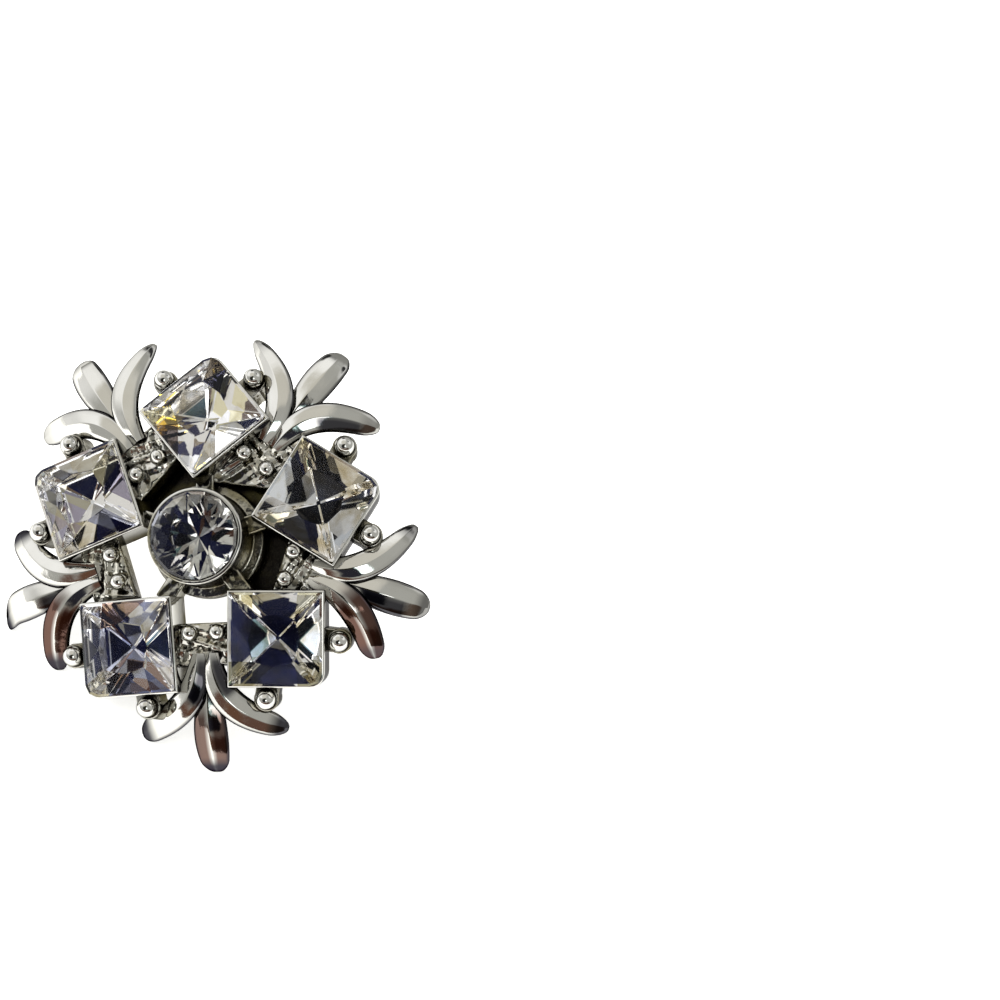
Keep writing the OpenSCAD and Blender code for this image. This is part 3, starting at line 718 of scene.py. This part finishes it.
# Round stone: a table, eight stars, eight kites and sixteen girdle facets over eight-fold foil
def roundStoneFacets(s, bezel):
    r, inner, table = s["half"], s["half"] - s["ledge"], s["table"] / 2
    girdleTop, girdleLow, tableUp = (bezel["top"] + s[name] for name in ("girdleTop", "girdleLow", "crown"))
    culet = girdleLow - inner * math.tan(math.radians(s["slope"]))
    star, pit = (table + r) / 2, inner * 0.42
    starUp = tableUp + (girdleTop - tableUp) * (star * math.cos(math.radians(22.5)) - table) / (r - table)
    pitUp = culet + (girdleLow - culet) * pit * math.cos(math.radians(22.5)) / inner
    def ring(radius, count, start, height):
        angle = np.radians(start + 360 / count * np.arange(count))
        return np.column_stack([radius * np.cos(angle), radius * np.sin(angle), np.full(count, height)])
    points = np.vstack([ring(r, 16, 0, girdleTop), ring(r, 16, 0, girdleLow), ring(inner, 16, 0, girdleLow),
                        ring(table, 8, 0, tableUp), ring(star, 8, 22.5, starUp), ring(pit, 8, 22.5, pitUp),
                        [(0, 0, culet)]])
    upper, lower = [], []
    for i in range(8):
        g, h, after = 2 * i, 2 * i + 1, (2 * i + 2) % 16
        t, tAfter, s0, s1 = 48 + i, 48 + (i + 1) % 8, 56 + (i + 7) % 8, 56 + i
        p0, p1 = 64 + (i + 7) % 8, 64 + i
        upper += [[s1, tAfter, t], [t, s0, g], [s1, t, g], [h, s1, g], [after, s1, h]]
        lower += [[p1, 32 + h, 32 + g], [p1, 32 + after, 32 + h], [72, p1, 32 + g], [p0, 72, 32 + g]]
    for j in range(16):
        after = (j + 1) % 16
        upper.append([16 + j, 16 + after, after, j])
        lower.append([32 + j, 32 + after, 16 + after, 16 + j])
    upper.append(list(range(48, 56)))
    return points @ turnAbout("Z", s["turn"]).T, upper, lower

points, upper, lower = roundStoneFacets(roundStone, bezelShape)
# Painted reflection and shade: a pale table and darker facets to its left
centrePaintedTints = {"#BABBC0": [56], "#75767E": list(range(15, 30))}  # the table, and the facets to its left
centreStone = stonePiece("centreStone", points, upper + lower, len(upper), centreFoil, centrePaintedTints)
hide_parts("centre_stone")
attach(centreStone, "root")
print("stones cut")


# Screw back: the frame's own solid, plated

nodes["screw_back"].data.materials.clear()
nodes["screw_back"].data.materials.append(nickelPlate(nickelSettings))


# Table and light

studio = {"table": "#E6E6E4", "tableGlow": 0.92, "tableHalf": 20,  # half its width in metres
          "base": "#BEBEBA", "behind": "#FFFFFF"}

# Opal acrylic lit from below, so that it stays pale under the piece too
def makeTable(s):
    material, tree = newMaterial("opalTable")
    colour, reach = hexColour(s["table"]), s["tableHalf"]
    finishMaterial(material, addNode(tree, "ShaderNodeBsdfPrincipled", {
        "Base Color": colour, "Roughness": 0.7, "Specular IOR Level": 0.2,
        "Emission Color": colour, "Emission Strength": s["tableGlow"]}))
    mesh = bpy.data.meshes.new("table")
    corners = [(-reach, -reach, 0), (reach, -reach, 0), (reach, reach, 0), (-reach, reach, 0)]
    mesh.from_pydata(corners, [], [(0, 1, 2, 3)])
    mesh.materials.append(material)
    table = bpy.data.objects.new("table", mesh)
    bpy.context.scene.collection.objects.link(table)

makeTable(studio)

# Direction from the cluster, in degrees to the right of and above the camera's axis
def seenFrom(right, above):
    away = math.hypot(right, above) or 1
    tilt = math.radians(away)
    return math.cos(tilt) * cameraBack + math.sin(tilt) * (right * cameraRight + above * cameraUp) / away

# What the polished metal and the stones mirror, each a soft disc: where it is, where its edge
# starts and ends in degrees, its colour and how bright it is
surroundings = [
    {"at": (-30, 62), "edge": (26, 46), "colour": "#FFFFFF", "glow": 1.25},
    {"at": (62, 45), "edge": (8, 26), "colour": "#FFFFFF", "glow": 1.1},
    {"at": (-100, 10), "edge": (18, 40), "colour": "#FFFFFF", "glow": 1.1},
    {"at": (48, 54), "edge": (5, 10), "colour": "#3A3B3C", "glow": 1},
    {"at": (-12, 98), "edge": (8, 14), "colour": "#2C2E30", "glow": 1},
    {"at": (-38, -42), "edge": (13, 22), "colour": "#6B4F44", "glow": 1},
    {"at": (-12, -48), "edge": (13, 22), "colour": "#70503F", "glow": 1},
    {"at": (14, -48), "edge": (13, 22), "colour": "#6B4F44", "glow": 1},
    {"at": (38, -42), "edge": (13, 22), "colour": "#5F5148", "glow": 1},
    {"at": (-8, 44), "edge": (18, 30), "colour": "#F6F3EA", "glow": 0.85},
    {"at": (-8, -5), "edge": (21, 26), "colour": "#161936", "glow": 1},
    {"at": (-6, -3), "edge": (9, 17), "colour": "#1B1C21", "glow": 1},
    {"at": (2, 14), "edge": (9, 11), "colour": "#17181C", "glow": 1},
    {"at": (13.5, -5), "edge": (8, 9.2), "colour": "#BDEAEC", "glow": 0.9},
    {"at": (14, -5), "edge": (6.4, 8.4), "colour": "#FFFFFF", "glow": 3},
]

# The world: an even grey, with each disc laid over it by the angle from its middle. Seen directly,
# past the table's edge, it is plain white.
def makeSurroundings(s, discs):
    world = bpy.data.worlds.new("studio")
    bpy.context.scene.world = world
    world.use_nodes = True
    tree = world.node_tree
    tree.nodes.clear()
    way = addNode(tree, "ShaderNodeTexCoord").outputs["Generated"]
    base = dict(enumerate(hexColour(s["base"])[:3]))
    colour = addNode(tree, "ShaderNodeCombineXYZ", base).outputs[0]
    for disc in discs:
        middle = seenFrom(*disc["at"]).tolist()
        closeness = addNode(tree, "ShaderNodeVectorMath", {1: middle}, {0: way}, operation="DOT_PRODUCT")
        near, far = (math.cos(math.radians(a)) for a in disc["edge"])
        mask = addNode(tree, "ShaderNodeMapRange", {"From Min": far, "From Max": near},
                       {"Value": closeness.outputs["Value"]}, interpolation_type="SMOOTHSTEP")
        lit = tuple(c * disc["glow"] for c in hexColour(disc["colour"])[:3])
        colour = addNode(tree, "ShaderNodeMix", {5: lit}, {0: mask.outputs[0], 4: colour},
                         data_type="VECTOR").outputs[1]
    seen = addNode(tree, "ShaderNodeLightPath").outputs["Is Camera Ray"]
    colour = addNode(tree, "ShaderNodeMix", {5: hexColour(s["behind"])[:3]}, {0: seen, 4: colour},
                     data_type="VECTOR").outputs[1]
    shader = addNode(tree, "ShaderNodeBackground", links={"Color": colour})
    addNode(tree, "ShaderNodeOutputWorld", links={"Surface": shader.outputs[0]})

makeSurroundings(studio, surroundings)

# A round lamp in a direction from the cluster, so many metres away, that faces it
def makeLamp(name, s, away):
    data = bpy.data.lights.new(name, "AREA")
    data.shape, data.size, data.energy = "DISK", s["size"], s["power"]
    data.color = hexColour(s["colour"])[:3]
    light = bpy.data.objects.new(name, data)
    bpy.context.scene.collection.objects.link(light)
    way = Vector(seenFrom(*s["at"]))
    light.location = way * away
    light.rotation_euler = way.to_track_quat("Z", "Y").to_euler()
    return light

# Neither metal nor glass mirrors this one, so it lights the table alone
softbox = {"at": (-8, 36), "size": 0.9, "colour": "#FFFFFF", "power": 7}
light = makeLamp("softbox", softbox, 0.8)
light.visible_glossy = light.visible_transmission = False

# Lamps that only some pieces see. The top stone's left facets split a warm lamp into a yellow flash,
# the lower stones and the round one hold a navy gleam and the others a pale one. The last turns the
# navy round the camera grey for the metal. Sizes are in metres and powers in watts.
pieceLamps = {
    "flashLamp": {"pieces": ["squareStone1"], "at": (12, 21.5),
                  "size": 0.24, "colour": "#FFE468", "power": 0.5},
    "navyLamp": {"pieces": ["squareStone3", "squareStone4", "centreStone"], "at": (-9, -5),
                 "size": 0.26, "colour": "#4752B0", "power": 0.014},
    "paleLamp": {"pieces": ["squareStone1", "squareStone2", "squareStone5"], "at": (-6, -3),
                 "size": 0.3, "colour": "#D8DCE6", "power": 0.011},
    "castingLamp": {"pieces": ["castSetting"], "at": (-8, -5),
                    "size": 0.58, "colour": "#FFF000", "power": 0.015},
}

def makePieceLamp(name, s):
    light = makeLamp(name, s, 0.6)
    lit = bpy.data.collections.new(name + "Pieces")
    for piece in s["pieces"]:
        lit.objects.link(bpy.data.objects[piece])
    light.light_linking.receiver_collection = lit

for name, settings in pieceLamps.items():
    makePieceLamp(name, settings)

bpy.context.scene.view_settings.view_transform = "Standard"
# Light goes back and forth many times inside a foiled stone
paths = bpy.context.scene.cycles
paths.max_bounces, paths.glossy_bounces, paths.transmission_bounces = 24, 20, 20
print("table and light set")
